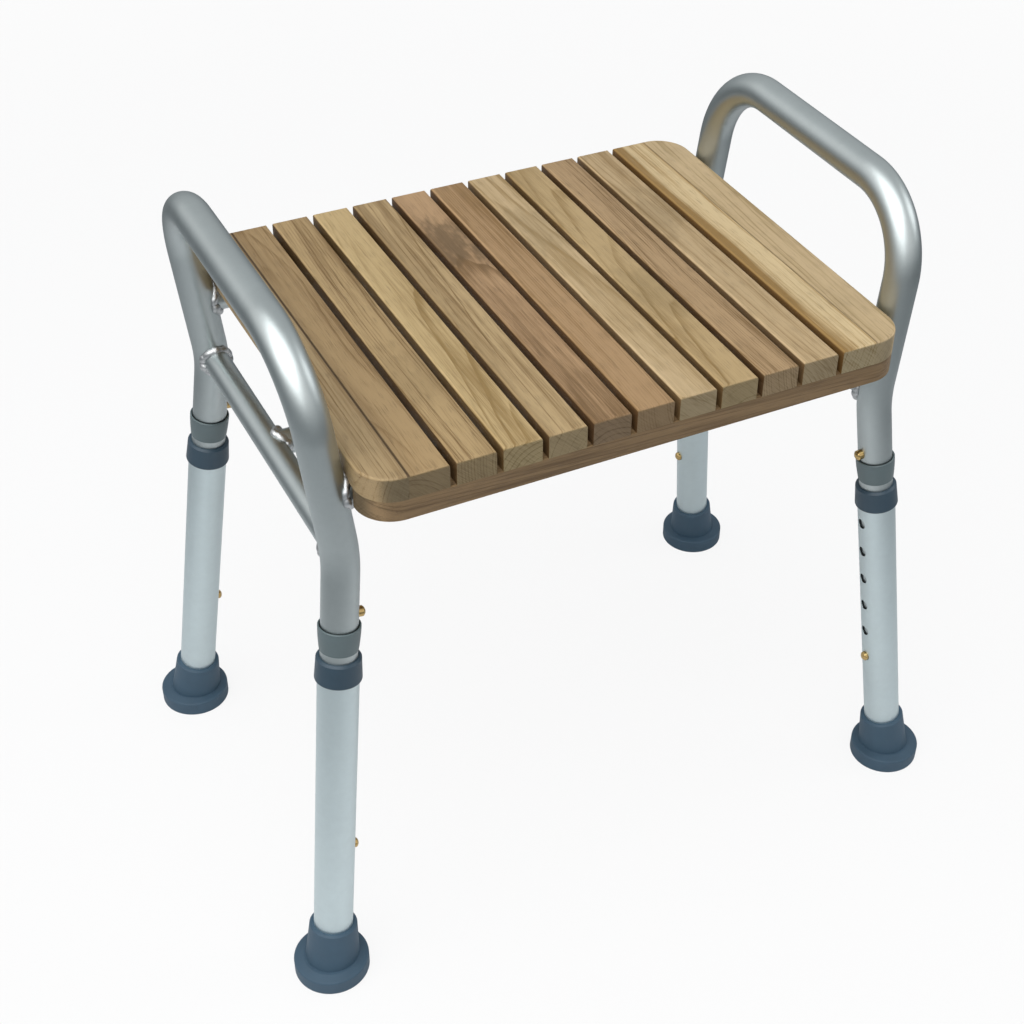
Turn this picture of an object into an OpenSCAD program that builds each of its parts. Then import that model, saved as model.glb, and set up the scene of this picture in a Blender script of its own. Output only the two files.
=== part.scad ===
// Adjustable shower stool: two bent side tubes with arm loops, welded cross tubes, a slatted teak seat
// and four telescopic legs that lock with snap buttons.
// It stands at its lowest setting. Millimetres, +Z up, front is -Y.

/* [Seat] */
// Width of one slat
slat_w = 27.2; // [24:0.1:32]
// Thickness of a slat
slat_t = 17.5; // [14:0.5:22]
// Gap between slats that do not abut
slat_gap = 4.5; // [3:0.1:5]
// Length of a slat, which is the depth of the seat
seat_depth = 326; // [290:1:360]
// Radius of the seat's four corners, seen from above
corner_r = 25; // [10:1:26]
// Rounding of the slats' top edges
edge_r = 2; // [0.5:0.5:4]
// Rounding of the two edges that meet at a seam
seam_r = 0.6; // [0.3:0.1:2]
// Width of the batten under the slats' ends
batten_w = 26; // [20:1:30]
// Thickness of a batten
batten_t = 15; // [10:0.5:18]

/* [Side tubes] */
// Outside diameter of the bent side tube
tube_d = 25.4; // [24:0.1:28]
// Wall of the bent side tube
tube_wall = 1.5; // [1.2:0.1:2]
// Distance of the knee, where the leg meets the upright, from the upper button, along the leg
knee_past_button = 46.15; // [45:0.05:60]
// Distance of a knee's middle from the batten, front to back
knee_to_batten = 10.1; // [9.8:0.1:16]
// Radius of the knee's bend
knee_r = 120; // [60:5:130]
// Height of the armrest's middle line above the seat
arm_above_seat = 70.5; // [60:0.5:90]
// How far an upright leans outward between its knee and the armrest
lean_x = 15.4; // [8:0.1:24]
// How far an upright leans to the middle, front to back, between its knee and the armrest
lean_y = 4.9; // [0:0.1:12]
// Gap between the seat's end and an upright, at the slats' underside
end_gap = 0.9; // [0.5:0.1:4]
// Radius of the arm loop's corners
arm_r = 58; // [40:1:70]

/* [Cross tubes] */
// Outside diameter of the two seat tubes and the two side bars
bar_d = 19; // [16:0.5:20]
// Outside diameter of the middle tube
middle_d = 18; // [14:0.5:18]
// Wall of the cross tubes and side bars
bar_wall = 1.5; // [1:0.1:2]
// Height of the seat tubes' middle line above the knees
seat_tube_above_knee = 49.5; // [40:0.5:60]
// Height of the side bars' middle line above the knees
side_bar_above_knee = 3; // [0:0.5:8]

/* [Legs] */
// How far a leg spreads sideways between its knee and the floor
splay_x = 43.7; // [30:0.1:55]
// How far a leg spreads front to back between its knee and the floor
splay_y = 34.1; // [20:0.1:45]
// Gap between the side tube and the lower tube round it
slide_gap = 0.4; // [0.3:0.05:0.6]
// Wall of the lower tube
leg_wall = 1.2; // [1:0.05:1.5]
// Length of the lower tube
leg_len = 273.5; // [264:0.5:320]
// Number of height holes
hole_count = 6; // [3:1:6]
// Distance from one height hole to the next
hole_pitch = 27; // [22:0.5:28]
// Distance of the lowest height hole from the floor, along the leg
lowest_hole = 115; // [105:1:118]
// How far the side tube reaches below the height button
tube_below_button = 20; // [12:1:30]

/* [Collar and ring] */
// Height of the collar that caps the lower tube
collar_h = 18.4; // [12:0.2:20]
// Thickness of the collar round the lower tube, near its foot
collar_wall = 1.9; // [1.4:0.1:3]
// Thickness of the collar round the lower tube, at its shoulder
shoulder_wall = 1.1; // [0.8:0.1:1.4]
// Thickness of the collar's lip over the lower tube's end
lip_t = 1.8; // [1.4:0.1:3]
// Bare length of side tube between collar and ring
neck = 6.1; // [3:0.1:12]
// Height of the ring
ring_h = 18.6; // [12:0.2:22]
// Distance of the ring's outside from the side tube, at its top
ring_wall = 1.8; // [1.5:0.1:2.6]
// Distance of the ring's outside from the side tube, at its foot
ring_foot_wall = 0.6; // [0.4:0.1:1.2]
// Thickness of the ring's rim
rim_t = 1; // [0.8:0.1:1.2]
// Depth of the groove between the ring's rim and the side tube
rim_depth = 3; // [1:0.5:6]

/* [Feet] */
// Diameter of the flange that lies on the floor
flange_d = 55.5; // [50:0.5:60]
// Height of the flange where it meets the sleeve
flange_h = 14.2; // [12:0.2:18]
// Height of the flange's upright side
flange_side = 11; // [6:0.5:11.5]
// Thickness of the sleeve's wall at its top
sleeve_wall = 3.2; // [2:0.1:4]
// How much thicker the sleeve's wall is at the flange
sleeve_flare = 3; // [0:0.1:4]
// Distance of the sleeve's top from the floor, along the leg
sleeve_top = 44; // [36:0.5:55]
// Distance of the lower tube's end from the floor, along the leg
sole_t = 8; // [7:0.5:10]
// Number of round grooves in the sole
treads = 3; // [1:1:3]
// Width of a groove, and of the rubber between two grooves
tread_w = 2; // [1:0.5:2.5]
// Depth of a groove
tread_depth = 1.5; // [0.5:0.5:2.5]

/* [Snap buttons] */
// Diameter of a button
button_d = 7.5; // [6:0.5:8]
// How far a height button stands out of the lower tube
button_out = 3.5; // [2.5:0.1:4.5]
// Height of the button's dome
dome_h = 2; // [1:0.25:2.5]
// Width of the spring leaf
leaf_w = 9; // [8:0.5:10]
// Thickness of the spring leaf
leaf_t = 0.6; // [0.4:0.1:0.8]
// Distance from the button's middle to the leaf's welded upper end
leaf_len = 26; // [18:1:28]
// Distance from the button's middle to the leaf's lower end
leaf_foot = 6; // [4:0.5:8]
// Distance of the upper button above the ring
button_above_ring = 2.9; // [0.4:0.1:5]

/* [Screws] */
// Shank diameter of every screw
screw_d = 4; // [3:0.5:5]
// Head diameter of a batten screw
batten_head_d = 7.6; // [6:0.2:9]
// Head diameter of a seat screw
seat_head_d = 8.4; // [7:0.2:10]
// Height of a seat screw's head
seat_head_h = 2.4; // [2:0.2:3]
// How far a screw goes into its slat
screw_bite = 11; // [8:0.5:12]

/* [Hidden] */

// Smoothness of round faces
$fn = 96;
slats = 13;
// Gap between a button and its hole in the side tube, and in the lower tube
button_fit = 0.1;
hole_fit = 0.3;
// Gap between the side tube and the ring, or the collar's lip that slides on it
ring_fit = 0.1;
// Gap between a spring leaf and the tube that it lies in
leaf_gap = 0.3;
// How much thicker the side tube is in its bends, and how far its straights run into them
bend_swell = 0.24;
bend_entry = 0.5;
// How far a cutting cylinder runs past the face that it cuts
past = 1;
// Small bevels of the ring, the collar's shoulder and the sleeve's top
ring_bevel = 0.5;
shoulder_bevel = 1.4;
sleeve_bevel = 1.2;
// Rounding of the collar's foot and of the flange's two edges
collar_round = 1.2;
flange_round = 2;
sole_round = 1.2;

seat_len = slats * slat_w + (slats - 3) * slat_gap;
plan_r = min(corner_r, slat_w - 1);

// Along a leg, from the floor up
leg_d = tube_d + 2 * (slide_gap + leg_wall);
leg_top = sole_t + leg_len;
collar_top = leg_top + lip_t;
collar_bottom = collar_top - collar_h;
ring_bottom = collar_top + neck;
ring_top = ring_bottom + ring_h;
stop_button_at = ring_top + button_above_ring + button_d / 2;
knee_at = stop_button_at + knee_past_button;
tube_end = lowest_hole - tube_below_button;
hole_d = button_d + 2 * hole_fit;

// Heights
knee_z = sqrt(knee_at * knee_at - splay_x * splay_x - splay_y * splay_y);
side_bar_z = knee_z + side_bar_above_knee;
seat_tube_z = knee_z + seat_tube_above_knee;
slat_bottom = seat_tube_z + bar_d / 2;
seat_top = slat_bottom + slat_t;
batten_bottom = slat_bottom - batten_t;
arm_z = seat_top + arm_above_seat;

// Distances from the middle of the stool
knee_x = seat_len / 2 + end_gap + tube_d / 2 - lean_x * (slat_bottom - knee_z) / (arm_z - knee_z);
knee_y = seat_depth / 2 - batten_w - knee_to_batten;
arm_x = knee_x + lean_x;
arm_y = knee_y - lean_y;
foot_x = knee_x + splay_x;
foot_y = knee_y + splay_y;

// Vectors of a side of the stool: side is -1 for left and 1 for right, end is -1 for front and 1 for rear
function unit(v) = v / norm(v);
function floor_point(side, end) = [side * foot_x, end * foot_y, 0];
function knee_point(side, end) = [side * knee_x, end * knee_y, knee_z];
function arm_point(side, end) = [side * arm_x, end * arm_y, arm_z];
function leg_axis(side, end) = unit(knee_point(side, end) - floor_point(side, end));
function on_axis(side, end, along) = floor_point(side, end) + along * leg_axis(side, end);
function upright_at(side, end, z) = knee_point(side, end)
    + (arm_point(side, end) - knee_point(side, end)) * (z - knee_z) / (arm_z - knee_z);

// A frame given by its three unit vectors and its origin
module placed(x, y, z, at) {
    multmatrix([
        [x[0], y[0], z[0], at[0]],
        [x[1], y[1], z[1], at[1]],
        [x[2], y[2], z[2], at[2]],
        [0, 0, 0, 1]
    ]) children();
}

// Along a leg: z runs up the leg's axis from the floor and x points to the middle of the stool
module on_leg(side, end) {
    z = leg_axis(side, end);
    x = unit([-side, 0, 0] - ([-side, 0, 0] * z) * z);
    placed(x, cross(z, x), z, floor_point(side, end)) children();
}

// A straight tube between two points, solid when the bore is 0
module straight_tube(from, to, outer, bore) {
    z = unit(to - from);
    x = unit(cross(z, abs(z[2]) < 0.9 ? [0, 0, 1] : [0, 1, 0]));
    placed(x, cross(z, x), z, from)
        difference() {
            cylinder(h = norm(to - from), d = outer);
            if (bore > 0) translate([0, 0, -past]) cylinder(h = norm(to - from) + 2 * past, d = bore);
        }
}

function turn(a, b, c) = acos(unit(b - a) * unit(c - b));
function tangent(a, b, c, r) = r * tan(turn(a, b, c) / 2);

// A bend at b between the runs from a to b and from b to c
module bent_tube(a, b, c, r, outer, bore) {
    along = unit(b - a);
    inside = unit(unit(c - b) - (unit(c - b) * along) * along);
    start = b - along * tangent(a, b, c, r);
    placed(-inside, along, cross(along, inside), start + r * inside)
        rotate_extrude(angle = turn(a, b, c))
            translate([r, 0])
                difference() {
                    circle(d = outer);
                    if (bore > 0) circle(d = bore);
                }
}

function side_route(side) = [
    on_axis(side, -1, tube_end), knee_point(side, -1), arm_point(side, -1),
    arm_point(side, 1), knee_point(side, 1), on_axis(side, 1, tube_end)
];
bend_radii = [0, knee_r, arm_r, arm_r, knee_r, 0];

// The stretch of a route after its corner i, from one bend's end to the next bend's start
function corner_cut(p, i) = i == 0 || i == len(p) - 1 ? 0 : tangent(p[i - 1], p[i], p[i + 1], bend_radii[i]);
function stretch(p, i) = let (v = unit(p[i + 1] - p[i]))
    [p[i] + v * corner_cut(p, i), p[i + 1] - v * corner_cut(p, i + 1)];

// The straights run a little way into the bends, whose wall is a hair thicker
module side_tube_route(side, outer, bore) {
    p = side_route(side);
    for (i = [0:len(p) - 2]) {
        a = stretch(p, i)[0];
        b = stretch(p, i)[1];
        v = unit(b - a) * bend_entry;
        straight_tube(i == 0 ? a : a - v, i == len(p) - 2 ? b : b + v, outer, bore);
    }
    for (i = [1:len(p) - 2])
        bent_tube(p[i - 1], p[i], p[i + 1], bend_radii[i], outer + bend_swell, bore > 0 ? bore - bend_swell : 0);
}

module side_tube(side) {
    color([0.66, 0.69, 0.69])
        difference() {
            side_tube_route(side, tube_d, tube_d - 2 * tube_wall);
            for (end = [-1, 1], along = [lowest_hole, stop_button_at])
                on_leg(side, end) translate([0, 0, along])
                    rotate([0, 90, 0]) cylinder(h = tube_d, d = button_d + 2 * button_fit);
        }
}

// A seat tube runs from one side tube to the other, under the slats, and is cut to fit round them
module seat_tube(end) {
    color([0.62, 0.65, 0.65])
        difference() {
            straight_tube(
                upright_at(-1, end, seat_tube_z), upright_at(1, end, seat_tube_z), bar_d, bar_d - 2 * bar_wall);
            for (side = [-1, 1])
                straight_tube(knee_point(side, end), arm_point(side, end), tube_d, 0);
            for (x = seat_screw_x)
                translate([x, upright_at(1, end, seat_tube_z)[1], seat_tube_z - bar_d])
                    cylinder(h = 2 * bar_d, d = screw_d);
        }
}

module side_bar(side) {
    color([0.62, 0.65, 0.65])
        difference() {
            straight_tube([side * knee_x, -knee_y, side_bar_z], [side * knee_x, knee_y, side_bar_z],
                bar_d, bar_d - 2 * bar_wall);
            side_tube_route(side, tube_d, 0);
        }
}

module middle_tube() {
    color([0.62, 0.65, 0.65])
        difference() {
            straight_tube(
                [-knee_x, 0, side_bar_z], [knee_x, 0, side_bar_z], middle_d, middle_d - 2 * bar_wall);
            for (side = [-1, 1])
                straight_tube(
                    [side * knee_x, -knee_y, side_bar_z], [side * knee_x, knee_y, side_bar_z], bar_d, 0);
        }
}

// Slats are counted from the left. The first two and the last two abut, the others stand a gap apart
function slat_start(k) = -seat_len / 2 + (k - 1) * slat_w + max(0, min(k - 2, slats - 3)) * slat_gap;
function slat_middle(k) = slat_start(k) + slat_w / 2;
seat_screw_x = [slat_middle(2), slat_middle(5), slat_middle(9), slat_middle(12)];

// Outline with its two upper corners rounded, from the origin to the right and up
module rounded_top(w, t, left, right) {
    translate([left, 0]) square([w - left - right, t]);
    if (left > 0) {
        square([left, t - left]);
        translate([left, t - left]) circle(r = left);
    }
    if (right > 0) {
        translate([w - right, 0]) square([right, t - right]);
        translate([w - right, t - right]) circle(r = right);
    }
}

// A run of slat along Y with rounded long edges
module slat_run(from_x, w, half_len, left, right) {
    translate([from_x, half_len, slat_bottom])
        rotate([90, 0, 0])
            linear_extrude(2 * half_len) rounded_top(w, slat_t, left, right);
}

// The same run with its ends' top edges rounded as well
module slat_with_ends(from_x, w, left, right) {
    intersection() {
        slat_run(from_x, w, seat_depth / 2, left, right);
        translate([from_x, -seat_depth / 2, slat_bottom])
            rotate([90, 0, 90])
                linear_extrude(w) rounded_top(seat_depth, slat_t, edge_r, edge_r);
    }
}

// An outer slat, drawn for the left side: its two outer corners are rounded in plan too
module outer_slat() {
    slat_with_ends(-seat_len / 2 + plan_r, slat_w - plan_r, 0, seam_r);
    slat_run(-seat_len / 2, plan_r, seat_depth / 2 - plan_r, edge_r, 0);
    for (end = [-1, 1])
        translate([-seat_len / 2 + plan_r, end * (seat_depth / 2 - plan_r), slat_bottom])
            rotate([0, 0, end < 0 ? 180 : 90])
                rotate_extrude(angle = 90) {
                    square([plan_r - edge_r, slat_t]);
                    translate([plan_r - edge_r, 0]) square([edge_r, slat_t - edge_r]);
                    intersection() {
                        translate([plan_r - edge_r, slat_t - edge_r]) circle(r = edge_r);
                        translate([plan_r - edge_r, slat_t - edge_r]) square(edge_r);
                    }
                }
}

module slat(k) {
    color([0.72, 0.6, 0.43])
        difference() {
            if (k == 1) outer_slat();
            else if (k == slats) mirror([1, 0, 0]) outer_slat();
            else slat_with_ends(
                slat_start(k), slat_w, k == 2 ? seam_r : edge_r, k == slats - 1 ? seam_r : edge_r);
            for (end = [-1, 1]) {
                translate([slat_middle(k), end * batten_screw_y, slat_bottom - past])
                    cylinder(h = screw_bite + past, d = screw_d);
                for (x = seat_screw_x)
                    if (abs(x - slat_middle(k)) < 1)
                        translate([x, upright_at(1, end, seat_tube_z)[1], slat_bottom - past])
                            cylinder(h = screw_bite + past, d = screw_d);
            }
        }
}

batten_screw_y = seat_depth / 2 - batten_w / 2;

module batten(end) {
    color([0.55, 0.4, 0.28])
        difference() {
            translate([0, 0, batten_bottom]) linear_extrude(batten_t) batten_plan(end);
            for (k = [1:slats])
                translate([slat_middle(k), end * batten_screw_y, 0]) {
                    cylinder(h = seat_top, d = screw_d);
                    translate([0, 0, batten_bottom])
                        cylinder(h = (batten_head_d - screw_d) / 2, d1 = batten_head_d, d2 = screw_d);
                }
        }
}

module batten_plan(end) {
    side_w = seat_len - 2 * plan_r;
    outer = end * seat_depth / 2;
    from_y = end < 0 ? outer : outer - batten_w;
    translate([-side_w / 2, from_y]) square([side_w, batten_w]);
    for (side = [-1, 1]) {
        from_x = side < 0 ? -seat_len / 2 : side_w / 2;
        intersection() {
            union() {
                translate([side * side_w / 2, outer - end * plan_r]) circle(r = plan_r);
                translate([from_x, from_y - end * plan_r]) square([plan_r, batten_w]);
            }
            translate([from_x, from_y]) square([plan_r, batten_w]);
        }
    }
}

module batten_screws() {
    color("silver")
        for (end = [-1, 1], k = [1:slats])
            translate([slat_middle(k), end * batten_screw_y, batten_bottom]) {
                cylinder(h = (batten_head_d - screw_d) / 2, d1 = batten_head_d, d2 = screw_d);
                cylinder(h = batten_t + screw_bite, d = screw_d);
            }
}

// Each seat screw goes up through a seat tube into a slat, and its round head sits under the tube
module seat_screws() {
    color("silver")
        for (end = [-1, 1], x = seat_screw_x)
            translate([x, upright_at(1, end, seat_tube_z)[1], slat_bottom - bar_d]) {
                cylinder(h = bar_d + screw_bite, d = screw_d);
                translate([0, 0, -seat_head_h]) cylinder(h = seat_head_h, d = seat_head_d);
            }
}

module lower_tube(side, end) {
    color([0.78, 0.82, 0.83])
        on_leg(side, end)
            difference() {
                translate([0, 0, sole_t]) cylinder(h = leg_len, d = leg_d);
                cylinder(h = leg_top + past, d = leg_d - 2 * leg_wall);
                for (i = [0:hole_count - 1])
                    translate([0, 0, lowest_hole + i * hole_pitch])
                        rotate([0, 90, 0]) cylinder(h = leg_d, d = hole_d);
            }
}

// Points of an arc round a centre, in steps of equal angle
function arc(centre, r, from, to, steps) =
    [for (i = [0:steps]) let (a = from + (to - from) * i / steps) centre + r * [cos(a), sin(a)]];

// The collar caps the lower tube. Its lip slides on the side tube, and it widens from its shoulder to its foot
module collar(side, end) {
    r = leg_d / 2 + collar_wall;
    shoulder_r = leg_d / 2 + shoulder_wall;
    lip_r = tube_d / 2 + ring_fit;
    color([0.22, 0.29, 0.35])
        on_leg(side, end)
            rotate_extrude()
                polygon(concat(
                    [[leg_d / 2, collar_bottom]],
                    arc([r - collar_round, collar_bottom + collar_round], collar_round, -90, 0, 3),
                    [[shoulder_r, collar_top - shoulder_bevel], [shoulder_r - shoulder_bevel, collar_top],
                        [lip_r, collar_top], [lip_r, leg_top], [leg_d / 2, leg_top]]
                ));
}

// The ring is pushed on the side tube. It swells to a thin rim that stands clear of the tube
module ring(side, end) {
    bore = tube_d / 2 + ring_fit;
    foot_r = tube_d / 2 + ring_foot_wall;
    r = tube_d / 2 + ring_wall;
    color([0.38, 0.42, 0.42])
        on_leg(side, end)
            rotate_extrude()
                polygon(concat(
                    [[bore, ring_bottom]],
                    [for (i = [0:0.2:1])
                        [foot_r + (r - foot_r) * sin(90 * i), ring_bottom + (ring_h - ring_bevel) * i]],
                    [[r - ring_bevel, ring_top], [r - rim_t, ring_top],
                        [r - rim_t, ring_top - rim_depth], [bore, ring_top - rim_depth]]
                ));
}

// The rubber foot's flange lies flat on the floor, and its sleeve leans with the leg
module foot(side, end) {
    r = flange_d / 2;
    sleeve_r = leg_d / 2 + sleeve_wall;
    base = flange_h / 2;
    color([0.27, 0.34, 0.4])
        difference() {
            union() {
                translate(floor_point(side, end))
                    rotate_extrude()
                        polygon(concat(
                            [[0, 0]],
                            arc([r - sole_round, sole_round], sole_round, -90, 0, 3),
                            arc([r - flange_round, flange_side], flange_round, 0, 60, 3),
                            [[sleeve_r + sleeve_flare, flange_h], [0, flange_h]]
                        ));
                on_leg(side, end)
                    rotate_extrude()
                        polygon([
                            [0, base], [sleeve_r + sleeve_flare, base], [sleeve_r, sleeve_top - sleeve_bevel],
                            [sleeve_r - sleeve_bevel, sleeve_top], [0, sleeve_top]
                        ]);
            }
            on_leg(side, end) translate([0, 0, sole_t]) cylinder(h = sleeve_top, d = leg_d);
            translate(floor_point(side, end))
                for (i = [1:treads])
                    translate([0, 0, -past])
                        difference() {
                            cylinder(h = tread_depth + past, r = r - 2 * i * tread_w);
                            cylinder(h = tread_depth + past, r = r - (2 * i + 1) * tread_w);
                        }
        }
}

// A domed brass button on the lower end of a spring leaf. The leaf lies along the inside of the side tube's wall
// and is welded to it at its upper end. Its x points the way the button does
module snap_button(side, end, along) {
    arm = tube_d / 2 - tube_wall - leaf_gap;
    flat_x = sqrt(arm * arm - leaf_w * leaf_w / 4);
    button_reach = leg_d / 2 + button_out;
    dome_r = (button_d * button_d / 4 + dome_h * dome_h) / (2 * dome_h);
    dome_turn = asin(button_d / 2 / dome_r);
    on_leg(side, end)
        translate([0, 0, along]) {
            color([0.7, 0.55, 0.3])
                rotate([0, 90, 0])
                    rotate_extrude()
                        polygon(concat(
                            [[0, flat_x - leaf_t / 2], [button_d / 2, flat_x - leaf_t / 2]],
                            arc([0, button_reach - dome_r], dome_r, 90 - dome_turn, 90, 5)
                        ));
            color("silver")
                translate([flat_x - leaf_t, -leaf_w / 2, -leaf_foot])
                    cube([leaf_t, leaf_w, leaf_len + leaf_foot]);
        }
}

side_tube(-1);  // side_tube_left
side_tube(1);  // side_tube_right
seat_tube(-1);  // seat_tube_front
seat_tube(1);  // seat_tube_rear
middle_tube();
side_bar(-1);  // side_bar_left
side_bar(1);  // side_bar_right
slat(1);  // slat_01
slat(2);  // slat_02
slat(3);  // slat_03
slat(4);  // slat_04
slat(5);  // slat_05
slat(6);  // slat_06
slat(7);  // slat_07
slat(8);  // slat_08
slat(9);  // slat_09
slat(10);  // slat_10
slat(11);  // slat_11
slat(12);  // slat_12
slat(13);  // slat_13
batten(-1);  // batten_front
batten(1);  // batten_rear
batten_screws();
seat_screws();
lower_tube(-1, -1);  // lower_tube_fl
lower_tube(1, -1);  // lower_tube_fr
lower_tube(-1, 1);  // lower_tube_rl
lower_tube(1, 1);  // lower_tube_rr
collar(-1, -1);  // collar_fl
collar(1, -1);  // collar_fr
collar(-1, 1);  // collar_rl
collar(1, 1);  // collar_rr
ring(-1, -1);  // ring_fl
ring(1, -1);  // ring_fr
ring(-1, 1);  // ring_rl
ring(1, 1);  // ring_rr
foot(-1, -1);  // foot_fl
foot(1, -1);  // foot_fr
foot(-1, 1);  // foot_rl
foot(1, 1);  // foot_rr
snap_button(-1, -1, lowest_hole);  // height_button_fl
snap_button(1, -1, lowest_hole);  // height_button_fr
snap_button(-1, 1, lowest_hole);  // height_button_rl
snap_button(1, 1, lowest_hole);  // height_button_rr
snap_button(-1, -1, stop_button_at);  // stop_button_fl
snap_button(1, -1, stop_button_at);  // stop_button_fr
snap_button(-1, 1, stop_button_at);  // stop_button_rl
snap_button(1, 1, stop_button_at);  // stop_button_rr
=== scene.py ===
# An adjustable shower stool: a slatted teak seat on a welded frame of bent aluminium tube, and four
# telescopic legs that lock with snap buttons.
import bmesh
import bpy
import numpy as np
from mathutils import Matrix, Vector


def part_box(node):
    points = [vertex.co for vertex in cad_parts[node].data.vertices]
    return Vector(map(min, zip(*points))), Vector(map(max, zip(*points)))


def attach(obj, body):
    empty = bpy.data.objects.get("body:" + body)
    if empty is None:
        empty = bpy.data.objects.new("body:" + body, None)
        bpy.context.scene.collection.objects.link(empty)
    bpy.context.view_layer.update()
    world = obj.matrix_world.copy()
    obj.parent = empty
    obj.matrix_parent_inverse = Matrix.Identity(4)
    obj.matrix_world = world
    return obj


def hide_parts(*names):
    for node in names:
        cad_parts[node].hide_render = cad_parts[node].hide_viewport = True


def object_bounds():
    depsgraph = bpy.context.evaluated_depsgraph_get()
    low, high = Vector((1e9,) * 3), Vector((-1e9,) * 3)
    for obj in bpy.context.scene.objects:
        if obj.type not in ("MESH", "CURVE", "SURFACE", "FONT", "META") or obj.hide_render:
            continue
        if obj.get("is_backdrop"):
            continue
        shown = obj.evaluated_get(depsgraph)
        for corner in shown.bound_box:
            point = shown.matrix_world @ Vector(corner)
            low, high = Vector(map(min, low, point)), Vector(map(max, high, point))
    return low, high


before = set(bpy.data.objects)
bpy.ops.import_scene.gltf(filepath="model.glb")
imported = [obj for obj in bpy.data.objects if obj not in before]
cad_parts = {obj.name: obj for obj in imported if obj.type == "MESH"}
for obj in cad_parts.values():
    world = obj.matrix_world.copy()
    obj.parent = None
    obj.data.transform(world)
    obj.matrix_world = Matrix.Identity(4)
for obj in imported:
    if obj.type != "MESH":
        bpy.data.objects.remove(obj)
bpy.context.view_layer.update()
MM = 0.001

# Camera.
# It looks down on the stool from the front left, and sees it as the photograph does. The axis of its lens
# meets the picture beside the middle.
CAMERA_PLACE = (-0.48371, -0.94239, 1.07006)
CAMERA_RIGHT = (0.88559, -0.46374, 0.02595)
CAMERA_UP = (0.28117, 0.57973, 0.76476)
CAMERA_BACK = (-0.36969, -0.66996, 0.64380)
FOCAL_PIXELS = 1736.5
PICTURE = 1024
CENTRE_PIXEL = (578.0, 563.0)
SENSOR = 36.0

camera = bpy.data.objects.new("camera", bpy.data.cameras.new("camera"))
bpy.context.scene.collection.objects.link(camera)
axes = Matrix([CAMERA_RIGHT, CAMERA_UP, CAMERA_BACK]).transposed()
camera.matrix_world = Matrix.Translation(CAMERA_PLACE) @ axes.to_4x4()
camera.data.sensor_width = SENSOR
camera.data.lens = FOCAL_PIXELS * SENSOR / PICTURE
camera.data.shift_x = (PICTURE / 2 - CENTRE_PIXEL[0]) / PICTURE
camera.data.shift_y = (CENTRE_PIXEL[1] - PICTURE / 2) / PICTURE
camera.data.clip_start = 0.01
camera.data.clip_end = 50
bpy.context.scene.camera = camera
bpy.context.scene.view_settings.view_transform = "Standard"


# Floor.
# It is white and keeps part of the shadow. Where the legs are pulled out they reach below it, so the
# camera sees through most of it, and light from above passes it to them. It fades out far from the stool,
# so it has no edge. Metal mirrors it as a sheet that is less lit away from the stool.
FLOOR_HALF = 4.0
FLOOR_COLOUR = (0.86, 0.86, 0.86)
FLOOR_ROUGHNESS = 0.9
FLOOR_CLEAR = 0.88
FLOOR_FADES = (0.8, 2.8)
FLOOR_NEAR = (0.88, 0.89, 0.90)
FLOOR_FAR = (0.24, 0.26, 0.27)
FLOOR_DARKENS = (0.20, 1.2)


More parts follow.
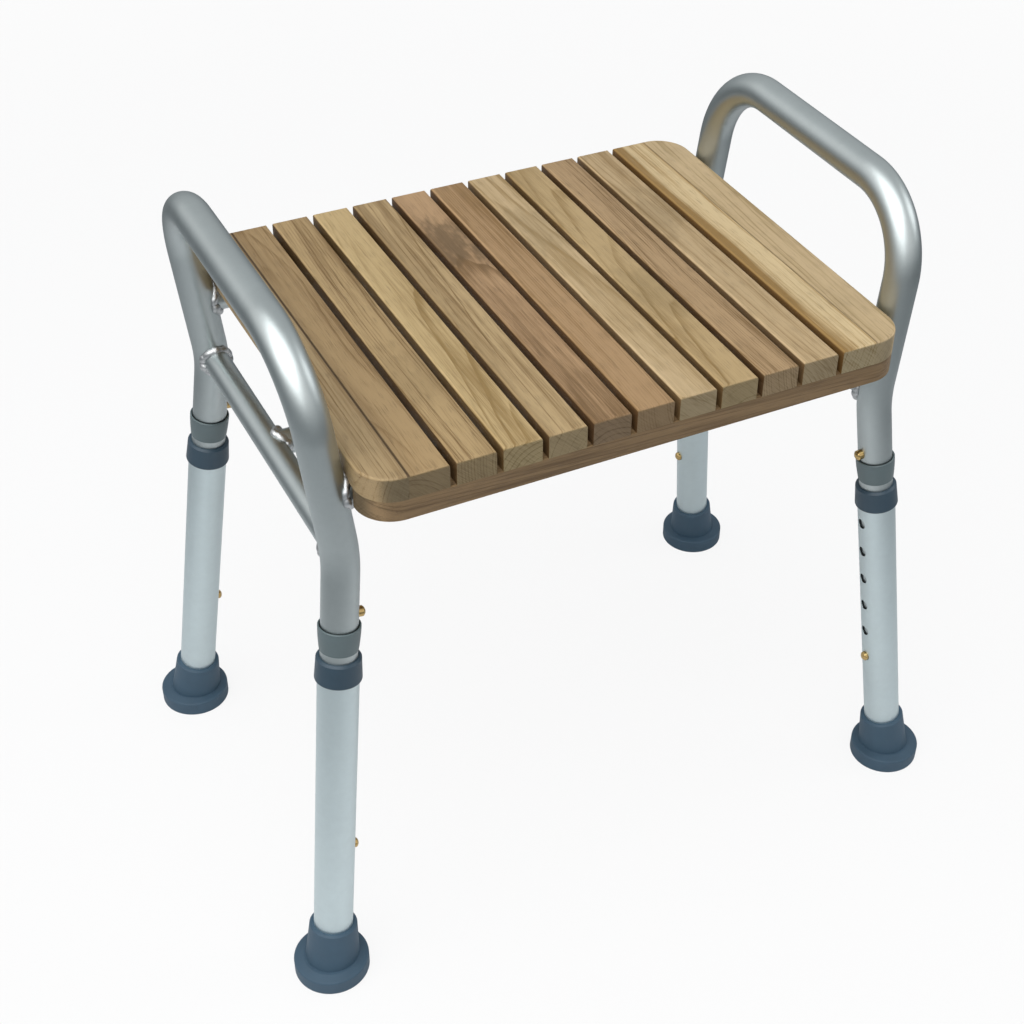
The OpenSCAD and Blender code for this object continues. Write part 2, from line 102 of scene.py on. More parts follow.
class Wire:
    """An output socket of a material's nodes. Arithmetic on wires adds Math nodes, or Vector Math nodes
    where one side is a colour or a vector. node() adds any other node."""

    def __init__(self, socket):
        self.socket = socket

    def node(self, kind, values=None, **settings):
        """Adds a node, whose settings are set before its sockets get numbers, colours or wires. The wire
        that comes back is its first output that is in use."""
        new = self.socket.id_data.nodes.new("ShaderNode" + kind)
        for name, value in settings.items():
            setattr(new, name, value)
        live = [s for s in new.inputs if s.enabled]
        named = {s.name: s for s in reversed(live)}
        for key, value in (values or {}).items():
            socket = live[key] if isinstance(key, int) else named[key]
            if isinstance(value, Wire):
                socket.id_data.links.new(value.socket, socket)
            elif isinstance(value, tuple) and socket.type == "RGBA":
                socket.default_value = (*value, 1)
            else:
                socket.default_value = value
        return Wire(next(s for s in new.outputs if s.enabled))

    def output(self, name):
        """Another output of the node that this wire comes from."""
        return Wire(self.socket.node.outputs[name])

    def is_vector(self):
        return self.socket.type in ("VECTOR", "RGBA")

    def maths(self, operation, a, b):
        """An operation on two wires or values, of which at least one is a wire."""
        wide = [x for x in (a, b) if isinstance(x, Wire) and x.is_vector() or isinstance(x, tuple)]
        if not wide:
            return self.node("Math", {0: a, 1: b}, operation=operation)
        if operation == "MULTIPLY" and len(wide) == 1:
            other = b if wide[0] is a else a
            return self.node("VectorMath", {0: wide[0], "Scale": other}, operation="SCALE")
        spread = [(x, x, x) if isinstance(x, (int, float)) else x for x in (a, b)]
        return self.node("VectorMath", {0: spread[0], 1: spread[1]}, operation=operation)

    def __add__(self, other):
        return self.maths("ADD", self, other)

    def __radd__(self, other):
        return self.maths("ADD", other, self)

    def __sub__(self, other):
        return self.maths("SUBTRACT", self, other)

    def __rsub__(self, other):
        return self.maths("SUBTRACT", other, self)

    def __mul__(self, other):
        return self.maths("MULTIPLY", self, other)

    def __rmul__(self, other):
        return self.maths("MULTIPLY", other, self)

    def __truediv__(self, other):
        return self.maths("DIVIDE", self, other)

    def __pow__(self, other):
        return self.maths("POWER", self, other)

    def single(self, operation):
        """A Math node's operation on this wire alone."""
        return self.node("Math", {0: self}, operation=operation)

    def vector(self, operation, *others):
        """A Vector Math node's operation on this wire, and on another vector where it takes two."""
        return self.node("VectorMath", dict(enumerate((self, *others))), operation=operation)

    def parts(self):
        """The three parts of a vector."""
        split = self.node("SeparateXYZ", {0: self})
        return [split.output(axis) for axis in "XYZ"]

    def step(self, low, high):
        """0 below low, 1 above high and smooth between them."""
        ends = {"Value": self, "From Min": low, "From Max": high}
        return self.node("MapRange", ends, interpolation_type="SMOOTHSTEP")

    def mix(self, a, b):
        """Colour a where this wire is 0 and colour b where it is 1."""
        return self.node("Mix", {"Factor": self, "A": a, "B": b}, data_type="RGBA")

    def noise(self, scale, detail=2.0, rough=0.5):
        """Noise between 0 and 1 at this wire, which is a place. scale is in features a metre: one number,
        or a tuple of one for each direction."""
        place, scale = (self * scale, 1.0) if isinstance(scale, tuple) else (self, scale)
        values = {"Vector": place, "Scale": scale, "Detail": detail, "Roughness": rough}
        return self.node("TexNoise", values)


def new_material(name):
    """A material with only its shader and output, the shader, and the wire of a place on the object, in
    metres."""
    material = bpy.data.materials.new(name)
    material.use_nodes = True
    nodes = material.node_tree.nodes
    place = nodes.new("ShaderNodeTexCoord").outputs["Object"]
    return material, nodes["Principled BSDF"], Wire(place)


def plug(node, name, value):
    """Sets a socket of a node to a number or colour, or links a wire to it."""
    if isinstance(value, Wire):
        node.id_data.links.new(value.socket, node.inputs[name])
    elif isinstance(value, tuple):
        node.inputs[name].default_value = (*value, 1)
    else:
        node.inputs[name].default_value = value


floor_mesh = bpy.data.meshes.new("floor")
corners = [(x * FLOOR_HALF, y * FLOOR_HALF, 0) for x, y in ((-1, -1), (1, -1), (1, 1), (-1, 1))]
floor_mesh.from_pydata(corners, [], [(0, 1, 2, 3)])
floor = bpy.data.objects.new("floor", floor_mesh)
bpy.context.scene.collection.objects.link(floor)
floor_material, floor_shader, floor_place = new_material("floor_white")
from_stool = floor_place.vector("LENGTH")
camera_ray = floor_place.node("LightPath")
sheet = from_stool.step(*FLOOR_DARKENS).mix(FLOOR_NEAR, FLOOR_FAR)
plug(floor_shader, "Base Color", camera_ray.output("Is Glossy Ray").mix(FLOOR_COLOUR, sheet))
plug(floor_shader, "Roughness", FLOOR_ROUGHNESS)
clear = FLOOR_CLEAR + from_stool.step(*FLOOR_FADES) * (1.0 - FLOOR_CLEAR)
under = floor_place.node("NewGeometry").output("Backfacing")
clear = clear.maths("MAXIMUM", camera_ray * clear, under)
glass = floor_place.node("BsdfTransparent")
surface = floor_place.node("MixShader", {"Fac": clear, 1: Wire(floor_shader.outputs[0]), 2: glass})
plug(floor_material.node_tree.nodes["Material Output"], "Surface", surface)
floor_mesh.materials.append(floor_material)
floor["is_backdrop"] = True


# Room and lamps.
# The room's light is even. In metal its ceiling is white over the left and light grey over the right and
# rear, and its walls are a darker grey near the horizon. A large soft lamp hangs over the stool's left and
# a weaker one at its right.
ROOM_LIGHT = (0.36, 0.37, 0.385)
ROOM_WHITE = (1.0, 1.0, 1.0)
ROOM_GREY = (0.62, 0.64, 0.65)
ROOM_WALL = (0.36, 0.385, 0.40)
SEAT_MIDDLE = Vector((0, 0, 0.4))

# The way to the middle of the grey, the cosines to it between which white turns to grey, and the sine of
# the height at which the walls end.
GREY_SIDE = (0.785, 0.453, 0.42)
GREY_BEGINS = (0.1, 0.5)
WALL_TOP = 0.4

world = bpy.data.worlds.new("room")
bpy.context.scene.world = world
world.use_nodes = True
room = world.node_tree.nodes["Background"]
camera_ray = Wire(room.outputs[0]).node("LightPath")
way = camera_ray.node("TexCoord")
ceiling = way.vector("DOT_PRODUCT", GREY_SIDE).step(*GREY_BEGINS).mix(ROOM_WHITE, ROOM_GREY)
mirrored = way.parts()[2].step(0.0, WALL_TOP).mix(ROOM_WALL, ceiling)
lit = camera_ray.output("Is Glossy Ray").mix(ROOM_LIGHT, mirrored)
plug(room, "Color", camera_ray.mix(lit, ROOM_WHITE))


def lamp(name, place, size, power):
    """A square area lamp that looks at the middle of the seat. Its power is in watts."""
    data = bpy.data.lights.new(name, "AREA")
    data.size = size
    data.energy = power
    made = bpy.data.objects.new(name, data)
    bpy.context.scene.collection.objects.link(made)
    made.location = place
    made.rotation_euler = (SEAT_MIDDLE - Vector(place)).to_track_quat("-Z", "Y").to_euler()


lamp("key", place=(-0.9, -0.6, 2.1), size=2.8, power=48)
lamp("fill", place=(1.8, -0.6, 1.4), size=1.0, power=6)


# Slats of the seat.
# Thirteen oiled teak slats, sawn from several planks, so their grain and colour differ. Each grain is a
# slice of the plank's growth rings: lines on the top where the pith lies beside the slat, arches where it
# lies below it. The first two and the last two slats abut, with a dark seam between them.
SLAT_HALF = 13.6 * MM

# Each slat: its pith's place sideways and up and its ring width, all in mm, its light and its dark wood,
# and what else teak() may be told of it.
SLATS = {
    1: ((60, -25), 2.4, (0.385, 0.275, 0.142), (0.215, 0.135, 0.055),
        dict(seam=1.2, end_tone=0.80, painted_flank_shade=0.0)),
    2: ((-14, -34), 3.4, (0.392, 0.267, 0.129), (0.182, 0.106, 0.038),
        dict(heart=-0.3, seam=-1.2, end_tone=0.87)),
    3: ((70, -12), 2.2, (0.435, 0.304, 0.147), (0.190, 0.112, 0.040), dict(patch=(-60, 0.2), heart=0.2)),
    4: ((22, -30), 4.0, (0.520, 0.380, 0.187), (0.280, 0.181, 0.066), {}),
    5: ((40, -30), 3.0, (0.469, 0.336, 0.171), (0.205, 0.125, 0.047), dict(heart=-0.5)),
    6: ((4, -40), 4.6, (0.445, 0.284, 0.149), (0.181, 0.104, 0.042),
        dict(patch=(82, 0.75), heart=-0.3, end_tone=0.77)),
    7: ((85, 10), 1.9, (0.398, 0.253, 0.126), (0.230, 0.132, 0.048), {}),
    8: ((-18, -45), 4.6, (0.538, 0.397, 0.222), (0.323, 0.216, 0.093), dict(patch=(70, 0.25))),
    9: ((14, -34), 3.8, (0.472, 0.338, 0.168), (0.268, 0.171, 0.063), dict(patch=(-40, 0.25))),
    10: ((95, 8), 1.9, (0.430, 0.290, 0.153), (0.170, 0.096, 0.032), dict(heart=0.2, end_tone=1.17)),
    11: ((-50, -40), 3.2, (0.510, 0.372, 0.206), (0.296, 0.191, 0.080), dict(patch=(60, 0.3))),
    12: ((-75, 20), 2.8, (0.655, 0.505, 0.285), (0.340, 0.205, 0.066),
         dict(heart=-1.7, seam=0.7, end_tone=0.88)),
    13: ((60, -50), 2.8, (0.553, 0.413, 0.235), (0.341, 0.241, 0.109),
         dict(seam=-0.7, painted_flank_shade=0.0)),
}

# The wood's noises, in features a metre sideways, along the board and up.
WANDER = (3, 2.2, 3)
DRIFT = (30, 7, 30)
CLOUD = (40, 6, 40)
HEART_EDGE = (90, 5, 90)
SMOKE = (90, 34, 90)
STREAK = (260, 4, 260)
VEIN = (620, 7, 620)
FIBRE = (1300, 30, 1300)
PORE = (2400, 60, 2400)
SEED_SHIFT = (3.1, 1.7, 0.9)

# Saw marks slant over the sawn ends, in features a metre across them and along them.
SAW_MARK = (1000.0, 60.0)

# How far the pith wanders sideways and up, its rise along the board, how many rings the rings drift, and
# where in a ring the dark line begins and is darkest.
PITH_WANDER = (30 * MM, 18 * MM)
PITH_RISE = 0.05
RING_DRIFT = 1.4
LATE_WOOD = (0.60, 0.94)

PATCH_HALF = 42 * MM
GRAIN_DEPTH = 0.22 * MM
WOOD_SPECULAR = 0.35

# What the dark wood is multiplied by in the pores, in a dark patch, in the heartwood and in the painted
# shade on a flank, and what both woods are multiplied by on the sawn ends and in the painted highlight on
# the rounded edges.
PORE_TONE = 0.50
PATCH_TONE = (0.62, 0.6696, 0.713)
HEART_TONE = 0.85
FLANK_SHADE_TONE = (0.50, 0.42, 0.36)
SAWN_TONE = (0.53, 0.565, 0.585)
EDGE_HIGHLIGHT_TONE = 1.45
SEAM_COLOUR = (0.075, 0.045, 0.020)


def scaled(values, factor):
    """A colour, or any three numbers, times one factor or times one for each."""
    return tuple(float(v) for v in np.multiply(values, factor))


def bumpy(shader, height, depth):
    """Gives the shader a bump from a height wire. depth is how far a height of 1 stands out, in metres."""
    plug(shader, "Normal", height.node("Bump", {"Height": height, "Distance": depth, "Strength": 1.0}))


def growth_rings(board, sideways, length, up, pith, ring_width, seed):
    """The ring that a place lies in, counted from the pith, and the dark line that ends it. A place's ring
    is its distance from a rising, wandering pith line, divided by the ring width. Each ring's line has a
    strength of its own."""
    wander = board.noise(WANDER) - 0.5
    drift = board.noise(DRIFT, 3.0) - 0.5
    from_pith_x = sideways - pith[0] * MM + wander * PITH_WANDER[0]
    from_pith_z = up - pith[1] * MM + length * PITH_RISE + wander * PITH_WANDER[1]
    radius = (from_pith_x * from_pith_x + from_pith_z * from_pith_z) ** 0.5
    ring = radius / (ring_width * MM) + drift * RING_DRIFT
    number = ring.single("FLOOR") + seed * 17.0
    strength = ring.node("TexWhiteNoise", {"W": number}, noise_dimensions="1D")
    within = ring.single("FRACT")
    return ring, within.step(*LATE_WOOD) * (1.0 - within.step(LATE_WOOD[1], 1.0)) * strength


def teak(name, centre, along, pith, ring_width, light, dark, seed, painted_flank_shade=0.85, patch=None, heart=0.0,
         seam=0.0, end_tone=1.0):
    """Sawn teak in the whole solid. centre is the board's middle and along is 0 or 1, the axis that the
    board runs along. Broad bands of colour follow the growth rings, and fine fibres, streaks and short dark
    pores run along the board. Its rounded long edges get a painted highlight, its flanks a painted shade
    of strength painted_flank_shade, and its sawn ends are duller and of their own end_tone. patch is the
    place of a smoky dark patch along the board in mm, and its strength. heart is the strength of dark
    heartwood along one side, and seam the width in mm of a dark seam along one side, both with the side as
    their sign."""
    material, shader, place = new_material(name)
    order = (1, 0, 2) if along else (0, 1, 2)
    parts = place.parts()
    length, sideways, up = (parts[i] - centre[i] for i in order)
    board = place.node("CombineXYZ", {0: sideways, 1: length, 2: up}) + scaled(SEED_SHIFT, seed)
    ring, line = growth_rings(board, sideways, length, up, pith, ring_width, seed)
    band = ring.node("CombineXYZ", {0: ring * 0.42, 1: length * 4.0, 2: seed * 5.3}).noise(1.0) - 0.5
    cloud = board.noise(CLOUD) - 0.5
    streak = board.noise(STREAK, 4.0, 0.7) - 0.5
    fibre = board.noise(FIBRE, 3.0, 0.7) - 0.5
    vein = board.noise(VEIN).step(0.58, 0.74)
    pores = board.noise(PORE, 1.0, 0.4).step(0.58, 0.72)
    darkness = band * 1.9 + line * 0.60 + streak * 1.3 + fibre + cloud * 0.7 + vein * 0.3 + 0.22
    colour = darkness.step(0.0, 1.0).mix(light, dark)
    colour = (pores * 0.35).mix(colour, scaled(dark, PORE_TONE))
    if patch:
        away = (length - patch[0] * MM) / PATCH_HALF
        ragged = (board.noise(SMOKE, 3.0, 0.6) - 0.5) * 3.2
        smoke = 1.0 - (away * away + ragged).step(0.1, 1.1)
        colour = (smoke * patch[1]).mix(colour, scaled(dark, PATCH_TONE))
    if heart:
        side = 1 if heart > 0 else -1
        ragged = (board.noise(HEART_EDGE, 3.0, 0.6) - 0.5) * 1.6
        core = (sideways * (side / SLAT_HALF) + ragged).step(0.15, 0.95)
        colour = (core * (streak + 0.95) * abs(heart)).mix(colour, scaled(dark, HEART_TONE))
    faces = place.output("Normal").parts()
    end, flank, top = (faces[i].single("ABSOLUTE") for i in order)
    # A painted highlight, lighter wood, along the rounded upper edges of the long sides.
    painted_edge_highlight = flank.step(0.2, 0.45) * (1.0 - flank.step(0.75, 0.95)) * top.step(0.3, 0.6)
    colour = (painted_edge_highlight * 0.45).mix(colour, colour * EDGE_HIGHLIGHT_TONE)
    # A painted shade on the flanks: the dark wood, darker and redder, where the faces turn sideways.
    colour = (flank.step(0.80, 0.95) * painted_flank_shade).mix(colour, scaled(dark, FLANK_SHADE_TONE))
    if seam:
        side, width = (1 if seam > 0 else -1), abs(seam)
        joint = (sideways * side - SLAT_HALF).step(-width * MM, -0.5 * width * MM)
        colour = (joint * (0.75 * width)).mix(colour, SEAM_COLOUR)
    slanted = {0: (sideways + up) * SAW_MARK[0], 1: (sideways - up) * SAW_MARK[1], 2: seed * 2.3}
    saw_marks = place.node("CombineXYZ", slanted).noise(1.0, 1.0) - 0.5
    sawn = (line * 0.5 + cloud * 0.7 + saw_marks * 1.1 + 0.25).step(0.0, 1.0).mix(light, dark)
    plug(shader, "Base Color", end.step(0.7, 0.95).mix(colour, sawn * scaled(SAWN_TONE, end_tone)))
    plug(shader, "Roughness", 0.52 + line * 0.10 + fibre * 0.25)
    plug(shader, "Specular IOR Level", WOOD_SPECULAR)
    bumpy(shader, fibre * 0.5 - pores * 0.5 + line * 0.3, GRAIN_DEPTH)
    return material


def finish_node(node, material):
    """Puts a material on a CAD node that stays as it is."""
    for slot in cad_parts[node].material_slots:
        slot.material = material


for number, (pith, ring_width, light, dark, others) in SLATS.items():
    node = f"slat_{number:02d}"
    low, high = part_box(node)
    finish_node(node, teak(node, (low + high) / 2, 1, pith, ring_width, light, dark, number, **others))


# Battens.
# Two teak battens, a shade redder than the slats, along the seat's front and rear edges. The slats are
# screwed to them from below.
BATTEN_PITH = (18, -60)
BATTEN_RINGS = 2.4
BATTEN_LIGHT = (0.29, 0.19, 0.093)
BATTEN_DARK = (0.13, 0.08, 0.036)
# The strength of the painted shade on the battens' front and rear faces.
BATTEN_FLANK_SHADE = 0.3

for seed, node in enumerate(("batten_front", "batten_rear"), start=20):
    low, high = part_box(node)
    wood = teak(node, (low + high) / 2, 0, BATTEN_PITH, BATTEN_RINGS, BATTEN_LIGHT, BATTEN_DARK, seed,
                painted_flank_shade=BATTEN_FLANK_SHADE)
    finish_node(node, wood)


# Side tubes, side bars, seat tubes and middle tube.
# Drawn aluminium tube, bent, welded and satin anodised to a soft grey with faint drawing marks. Each side
# tube is one tube, with four bends and with four holes for its snap buttons.
FRAME_COLOUR = (0.495, 0.54, 0.54)
FRAME_ROUGHNESS = 0.38
# The near-black painted shade in a tube's bore and in the walls of its holes.
BORE_SHADE_COLOUR = (0.045, 0.05, 0.055)
DRAWING_DEPTH = 0.02 * MM


def satin_aluminium(name, colour, roughness, outer_face=None):
    """Satin anodised tube: nearly even, with cloudy patches and faint fine marks. outer_face may turn a
    place into 1 on the tube's outer face and 0 in its bore, which then gets a near-black painted shade."""
    material, shader, place = new_material(name)
    cloud = place.noise(18.0, 3.0)
    grain = place.noise(2200.0, 2.0, 0.7)
    fleck = place.noise(160.0, 4.0, 0.7)
    satin = (0.90 + cloud * 0.12 + (fleck - 0.5) * 0.10) * colour
    if outer_face:
        # The bore and the holes' walls get the near-black painted shade.
        satin = outer_face(place).mix(BORE_SHADE_COLOUR, satin)
    plug(shader, "Base Color", satin)
    plug(shader, "Metallic", 1.0)
    plug(shader, "Roughness", roughness + (cloud - 0.5) * 0.10 + (grain - 0.5) * 0.10)
    bumpy(shader, grain, DRAWING_DEPTH)
    return material


frame_metal = satin_aluminium("frame_aluminium", FRAME_COLOUR, FRAME_ROUGHNESS)
for node in ("seat_tube_front", "seat_tube_rear", "middle_tube", "side_bar_left", "side_bar_right"):
    finish_node(node, frame_metal)

# Corners of the right rear quarter's centre line: at the floor, at the knee and at the armrest.
FOOT_POINT = np.array([250.42, 161.0, 0.0]) * MM
KNEE_POINT = np.array([206.72, 126.9, 356.52]) * MM
ARM_POINT = np.array([222.12, 122.0, 503.52]) * MM
KNEE_RADIUS = 120 * MM
ARM_RADIUS = 58 * MM
TUBE_RADIUS = 12.7 * MM
BORE_RADIUS = 11.2 * MM
BEND_STEPS = 40
ROUND_STEPS = 72

# Up a leg's axis from the floor: the side tube's end and its two buttons. Then the buttons' holes, and the
# least angle between two faces that is shaded as an edge, in radians.
TUBE_END = 95 * MM
BUTTONS = (115 * MM, 314.65 * MM)
HOLE_RADIUS = 3.85 * MM
HOLE_MARGIN = 6 * MM
HOLE_SIDES = 48
SHARP_EDGE = 0.7


def unit(v):
    """A vector, or each vector of an array, divided by its length."""
    return v / np.linalg.norm(v, axis=-1, keepdims=True)


def on_side(point, side, end):
    """A point of the right rear quarter, taken to a side (-1 left, 1 right) and end (-1 front, 1 rear)."""
    return point * np.array([side, end, 1])


def leg_axis(side, end):
    """Where a leg's axis meets the floor, and the axis's direction up the leg."""
    foot = on_side(FOOT_POINT, side, end)
    return foot, unit(on_side(KNEE_POINT, side, end) - foot)


def below_knee(side, end):
    """Places up a side tube's leg, from its lower end to just above its upper button. A pair of them closes
    in each button's hole."""
    foot, up = leg_axis(side, end)
    heights = [TUBE_END] + [hole + margin for hole in BUTTONS for margin in (-HOLE_MARGIN, HOLE_MARGIN)]
    return foot + np.array(heights)[:, None] * up


def bend(before, corner, after, radius):
    """Points along the arc that rounds a corner: its centre lies on the corner's bisector, radius away from
    both runs, and the arc turns from one tangent point to the other."""
    into, away = unit(corner - before), unit(after - corner)
    turn = np.arccos(into @ away)
    inward = unit(away - (away @ into) * into)
    start = corner - into * radius * np.tan(turn / 2)
    angle = np.linspace(0, turn, BEND_STEPS)[:, None]
    return start + radius * (np.sin(angle) * into + (1 - np.cos(angle)) * inward)


def swept_rings(path, radius):
    """Rings of one radius square to a path. Each ring's first direction is the last one's, less its part
    along the new tangent, so the tube doesn't twist."""
    tangent = unit(np.gradient(path, axis=0))
    tangent[0] = unit(path[1] - path[0])
    tangent[-1] = unit(path[-1] - path[-2])
    first = unit(np.cross(tangent[0], [0, 1, 0]))
    firsts = [first]
    for t in tangent[1:]:
        first = unit(first - (first @ t) * t)
        firsts.append(first)
    firsts = np.array(firsts)
    seconds = np.cross(tangent, firsts)
    angle = np.linspace(0, 2 * np.pi, ROUND_STEPS, endpoint=False)[None, :, None]
    return path[:, None] + radius * (np.cos(angle) * firsts[:, None] + np.sin(angle) * seconds[:, None])


def frame_piece(name, points, material):
    """A piece of the frame from a grid of points whose rows and columns both close on themselves."""
    rows, columns = points.shape[:2]
    index = np.arange(rows * columns).reshape(rows, columns)
    above = np.roll(index, -1, 0)
    quads = np.stack([index, np.roll(index, -1, 1), np.roll(above, -1, 1), above], -1).reshape(-1, 4)
    mesh = bpy.data.meshes.new(name)
    mesh.from_pydata(points.reshape(-1, 3).tolist(), [], quads.tolist())
    mesh.shade_smooth()
    mesh.materials.append(material)
    piece = bpy.data.objects.new(name, mesh)
    bpy.context.scene.collection.objects.link(piece)
    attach(piece, "frame")
    return piece


def drill_buttons(piece, side):
    """Cuts the four holes through which a side tube's snap buttons come out. Each is drilled square to its
    leg's axis, from the stool's middle. The edges round them and at the tube's ends are shaded sharp."""
    rods = bmesh.new()
    for end in (-1, 1):
        foot, up = leg_axis(side, end)
        inward = np.array([-side, 0.0, 0.0])
        inward = unit(inward - (inward @ up) * up)
        turned = Vector(inward).to_track_quat("Z", "Y").to_matrix().to_4x4()
        for height in BUTTONS:
            wall = Matrix.Translation(foot + height * up + TUBE_RADIUS * inward)
            bmesh.ops.create_cone(rods, cap_ends=True, segments=HOLE_SIDES, radius1=HOLE_RADIUS,
                                  radius2=HOLE_RADIUS, depth=TUBE_RADIUS, matrix=wall @ turned)
    drill_mesh = bpy.data.meshes.new("drill")
    rods.to_mesh(drill_mesh)
    rods.free()
    drill = bpy.data.objects.new("drill", drill_mesh)
    bpy.context.scene.collection.objects.link(drill)
    cut = piece.modifiers.new("drill", "BOOLEAN")
    cut.object = drill
    cut.solver = "EXACT"
    piece.data = bpy.data.meshes.new_from_object(piece.evaluated_get(bpy.context.evaluated_depsgraph_get()))
    piece.data.set_sharp_from_angle(angle=SHARP_EDGE)
    piece.modifiers.clear()
    bpy.data.objects.remove(drill)


for side, name in ((-1, "left"), (1, "right")):
    leg_front, leg_rear = (below_knee(side, end) for end in (-1, 1))
    knee_front, knee_rear = (on_side(KNEE_POINT, side, end) for end in (-1, 1))
    arm_front, arm_rear = (on_side(ARM_POINT, side, end) for end in (-1, 1))
    route = np.vstack([
        leg_front,
        bend(leg_front[0], knee_front, arm_front, KNEE_RADIUS),
        bend(knee_front, arm_front, arm_rear, ARM_RADIUS),
        bend(arm_front, arm_rear, knee_rear, ARM_RADIUS),
        bend(arm_rear, knee_rear, leg_rear[0], KNEE_RADIUS),
        leg_rear[::-1],
    ])
    skin = np.vstack([swept_rings(route, TUBE_RADIUS), swept_rings(route, BORE_RADIUS)[::-1]])
    tube = frame_piece("side_tube_skin_" + name, skin, frame_metal)
    drill_buttons(tube, side)
    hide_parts("side_tube_" + name)


# Welds.
# A bead of filler runs all round each end of a seat tube, side bar and middle tube, laid by hand in
# overlapping ripples of uneven width. It is shinier than the tubes.
WELD_RADIUS = 3.1 * MM
WELD_STEPS = 18
WELD_LEAN = 0.5
RIPPLE_PITCH = 6.0 * MM
RIPPLE_STEPS = 10
RIPPLE_SWELL = 0.24
BAR_RADIUS = 9.5 * MM
MIDDLE_RADIUS = 9.0 * MM
SIDE_BAR_HEIGHT = 359.52 * MM


def bare_metal(name, features, dull, bright, roughness, added_roughness):
    """Bare metal with a cloudy tarnish of some features a metre, between a dull and a bright colour. Its
    roughness grows by added_roughness from the one to the other."""
    material, shader, place = new_material(name)
    tarnish = place.noise(features, 3.0)
    plug(shader, "Base Color", tarnish.mix(dull, bright))
    plug(shader, "Metallic", 1.0)
    plug(shader, "Roughness", roughness + tarnish * added_roughness)
    return material


weld_metal = bare_metal("weld_metal", features=240.0, dull=(0.36, 0.37, 0.38), bright=(0.68, 0.69, 0.69),
                        roughness=0.32, added_roughness=0.18)


def weld_bead(name, start, along, small, centre, axis, large):
    """A bead along the curve where a small round tube meets a large one. Each line of the small tube's wall
    is carried along it until it is one large radius away from the large tube's axis. Round that curve goes
    a circle whose radius rises and falls once in each ripple and varies slowly round the tube, and whose
    outer half leans along the curve."""
    along, axis = unit(along), unit(axis)
    first = unit(np.cross(along, axis))
    second = np.cross(along, first)
    ripples = round(2 * np.pi * small / RIPPLE_PITCH)
    turn = np.linspace(0, 2 * np.pi, ripples * RIPPLE_STEPS, endpoint=False)[:, None]
    outward_small = np.cos(turn) * first + np.sin(turn) * second
    wall = start + small * outward_small - centre
    wall_square = wall - (wall @ axis)[:, None] * axis
    along_square = along - (along @ axis) * axis
    a = along_square @ along_square
    b = 2 * wall_square @ along_square
    c = (wall_square ** 2).sum(1) - large ** 2
    travel = (-b - np.sqrt(np.maximum(b * b - 4 * a * c, 0))) / (2 * a)
    curve = centre + wall + travel[:, None] * along
    outward_large = unit(wall_square + travel[:, None] * along_square)
    out = unit(outward_small + outward_large)
    tangent = unit(np.roll(curve, -1, 0) - np.roll(curve, 1, 0))
    across = np.cross(tangent, out)
    phase = turn[:, 0] * ripples / (2 * np.pi) % 1
    hand = 0.10 * np.sin(3 * turn[:, 0] + 40 * small) + 0.07 * np.sin(7 * turn[:, 0] + 90 * large)
    swell = WELD_RADIUS * (0.88 + hand + RIPPLE_SWELL * np.sin(np.pi * phase) ** 0.8)
    ring = np.linspace(0, 2 * np.pi, WELD_STEPS, endpoint=False)[None, :, None]
    circle = swell[:, None, None] * (np.cos(ring) * out[:, None] + np.sin(ring) * across[:, None])
    lean = WELD_LEAN * WELD_RADIUS * np.maximum(np.cos(ring), 0) * tangent[:, None]
    frame_piece(name, curve[:, None] + circle + lean, weld_metal)


for side, side_name in ((-1, "left"), (1, "right")):
    outward = np.array([side, 0.0, 0.0])
    middle = np.array([0.0, 0.0, SIDE_BAR_HEIGHT])
    bar = np.array([side * KNEE_POINT[0], 0.0, SIDE_BAR_HEIGHT])
    weld_bead(f"weld_middle_{side_name}", middle, outward, MIDDLE_RADIUS, bar, np.array([0.0, 1.0, 0.0]),
              BAR_RADIUS)
    for end, end_name in ((-1, "front"), (1, "rear")):
        knee = on_side(KNEE_POINT, side, end)
        upright = on_side(ARM_POINT, side, end) - knee
        low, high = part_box("seat_tube_" + end_name)
        seat_tube = np.array((low + high) / 2)
        weld_bead(f"weld_seat_{end_name}_{side_name}", seat_tube, outward, BAR_RADIUS, knee, upright,
                  TUBE_RADIUS)
        weld_bead(f"weld_bar_{end_name}_{side_name}", bar, np.array([0.0, end, 0.0]), BAR_RADIUS, knee,
                  upright, TUBE_RADIUS)


# Lower tubes.
# The legs' wider tubes, of the same metal with a paler and duller finish, and with six drilled height holes
# each. Their bores and the walls of the holes get a near-black painted shade.
LEGS = ("fl", "fr", "rl", "rr")
LEG_COLOUR = (0.66, 0.75, 0.765)
LEG_ROUGHNESS = 0.42
LEG_RADIUS = 14.3 * MM


def leg_outer_face(place):
    """1 on a lower tube's outer face and 0 less than half a millimetre further in. Mirrored into one
    quarter, all legs share one axis, and a place's distance from it is the length of the cross product of
    the way from the axis's foot and the axis's direction."""
    reach = place.vector("ABSOLUTE") - tuple(FOOT_POINT)
    from_axis = reach.vector("CROSS_PRODUCT", tuple(leg_axis(1, 1)[1])).vector("LENGTH")
    return from_axis.step(LEG_RADIUS - 0.4 * MM, LEG_RADIUS - 0.1 * MM)


leg_metal = satin_aluminium("leg_aluminium", LEG_COLOUR, LEG_ROUGHNESS, leg_outer_face)
for leg in LEGS:
    finish_node("lower_tube_" + leg, leg_metal)


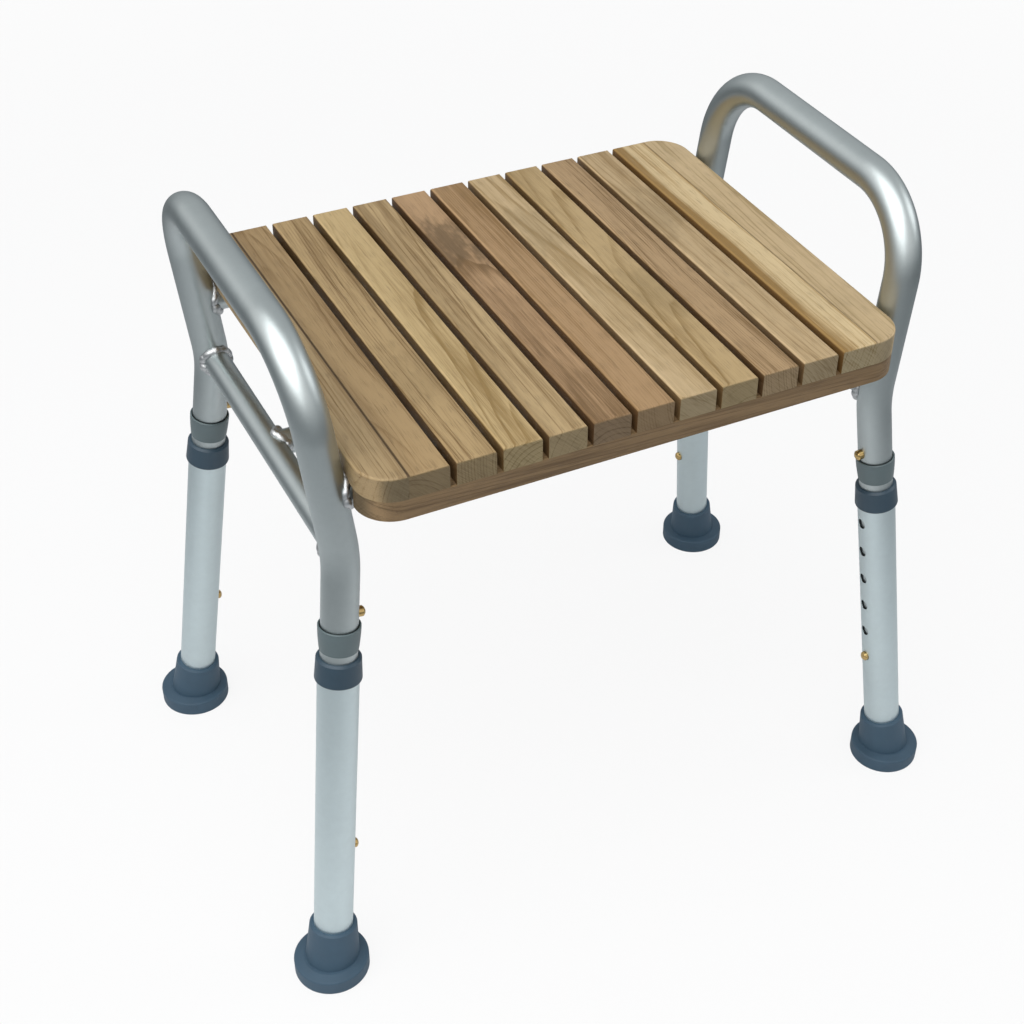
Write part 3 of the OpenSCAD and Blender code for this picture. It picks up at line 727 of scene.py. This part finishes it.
# Collars, rings and feet.
# The collar is a slate blue plastic cap on the lower tube, the ring a grey plastic cup pushed on the side
# tube above it, and the foot is rubber with its flange flat on the floor.
COLLAR_COLOUR = (0.026, 0.055, 0.082)
RING_COLOUR = (0.100, 0.137, 0.145)
FOOT_COLOUR = (0.042, 0.086, 0.130)
DUST_COLOUR = (0.35, 0.38, 0.40)


def moulded(name, colour, roughness, grain_depth):
    """Moulded plastic or rubber with a fine eroded grain, a slightly cloudy colour and a little dust."""
    material, shader, place = new_material(name)
    cloud = place.noise(60.0, 3.0)
    grain = place.noise(2600.0, 3.0, 0.6)
    dust = place.noise(420.0, 4.0, 0.7).step(0.62, 0.82)
    tone = cloud.mix(scaled(colour, 0.85), scaled(colour, 1.15))
    plug(shader, "Base Color", (dust * 0.10).mix(tone, DUST_COLOUR))
    plug(shader, "Roughness", roughness + (cloud - 0.5) * 0.12 + dust * 0.10)
    bumpy(shader, grain, grain_depth)
    return material


collar_plastic = moulded("collar_plastic", COLLAR_COLOUR, roughness=0.42, grain_depth=0.02 * MM)
ring_plastic = moulded("ring_plastic", RING_COLOUR, roughness=0.40, grain_depth=0.02 * MM)
foot_rubber = moulded("foot_rubber", FOOT_COLOUR, roughness=0.58, grain_depth=0.04 * MM)
for leg in LEGS:
    finish_node("collar_" + leg, collar_plastic)
    finish_node("ring_" + leg, ring_plastic)
    finish_node("foot_" + leg, foot_rubber)


# Snap buttons.
# Turned brass buttons on spring leaves inside the side tubes. The lower one locks the leg in one of its
# holes, and the upper one comes out just above the ring.
brass = bare_metal("button_brass", features=700.0, dull=(0.42, 0.26, 0.09), bright=(0.70, 0.52, 0.24),
                   roughness=0.16, added_roughness=0.14)
for leg in LEGS:
    finish_node("height_button_" + leg, brass)
    finish_node("stop_button_" + leg, brass)


# Screws.
# Plain steel screws, driven from below through the battens and the seat tubes into the slats, so none shows
# on the seat.
steel, steel_shader, steel_place = new_material("screw_steel")
plug(steel_shader, "Base Color", steel_place.noise(300.0).mix((0.50, 0.51, 0.52), (0.62, 0.63, 0.64)))
plug(steel_shader, "Metallic", 1.0)
plug(steel_shader, "Roughness", 0.32)
for node in ("batten_screws", "seat_screws"):
    finish_node(node, steel)

low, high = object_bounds()
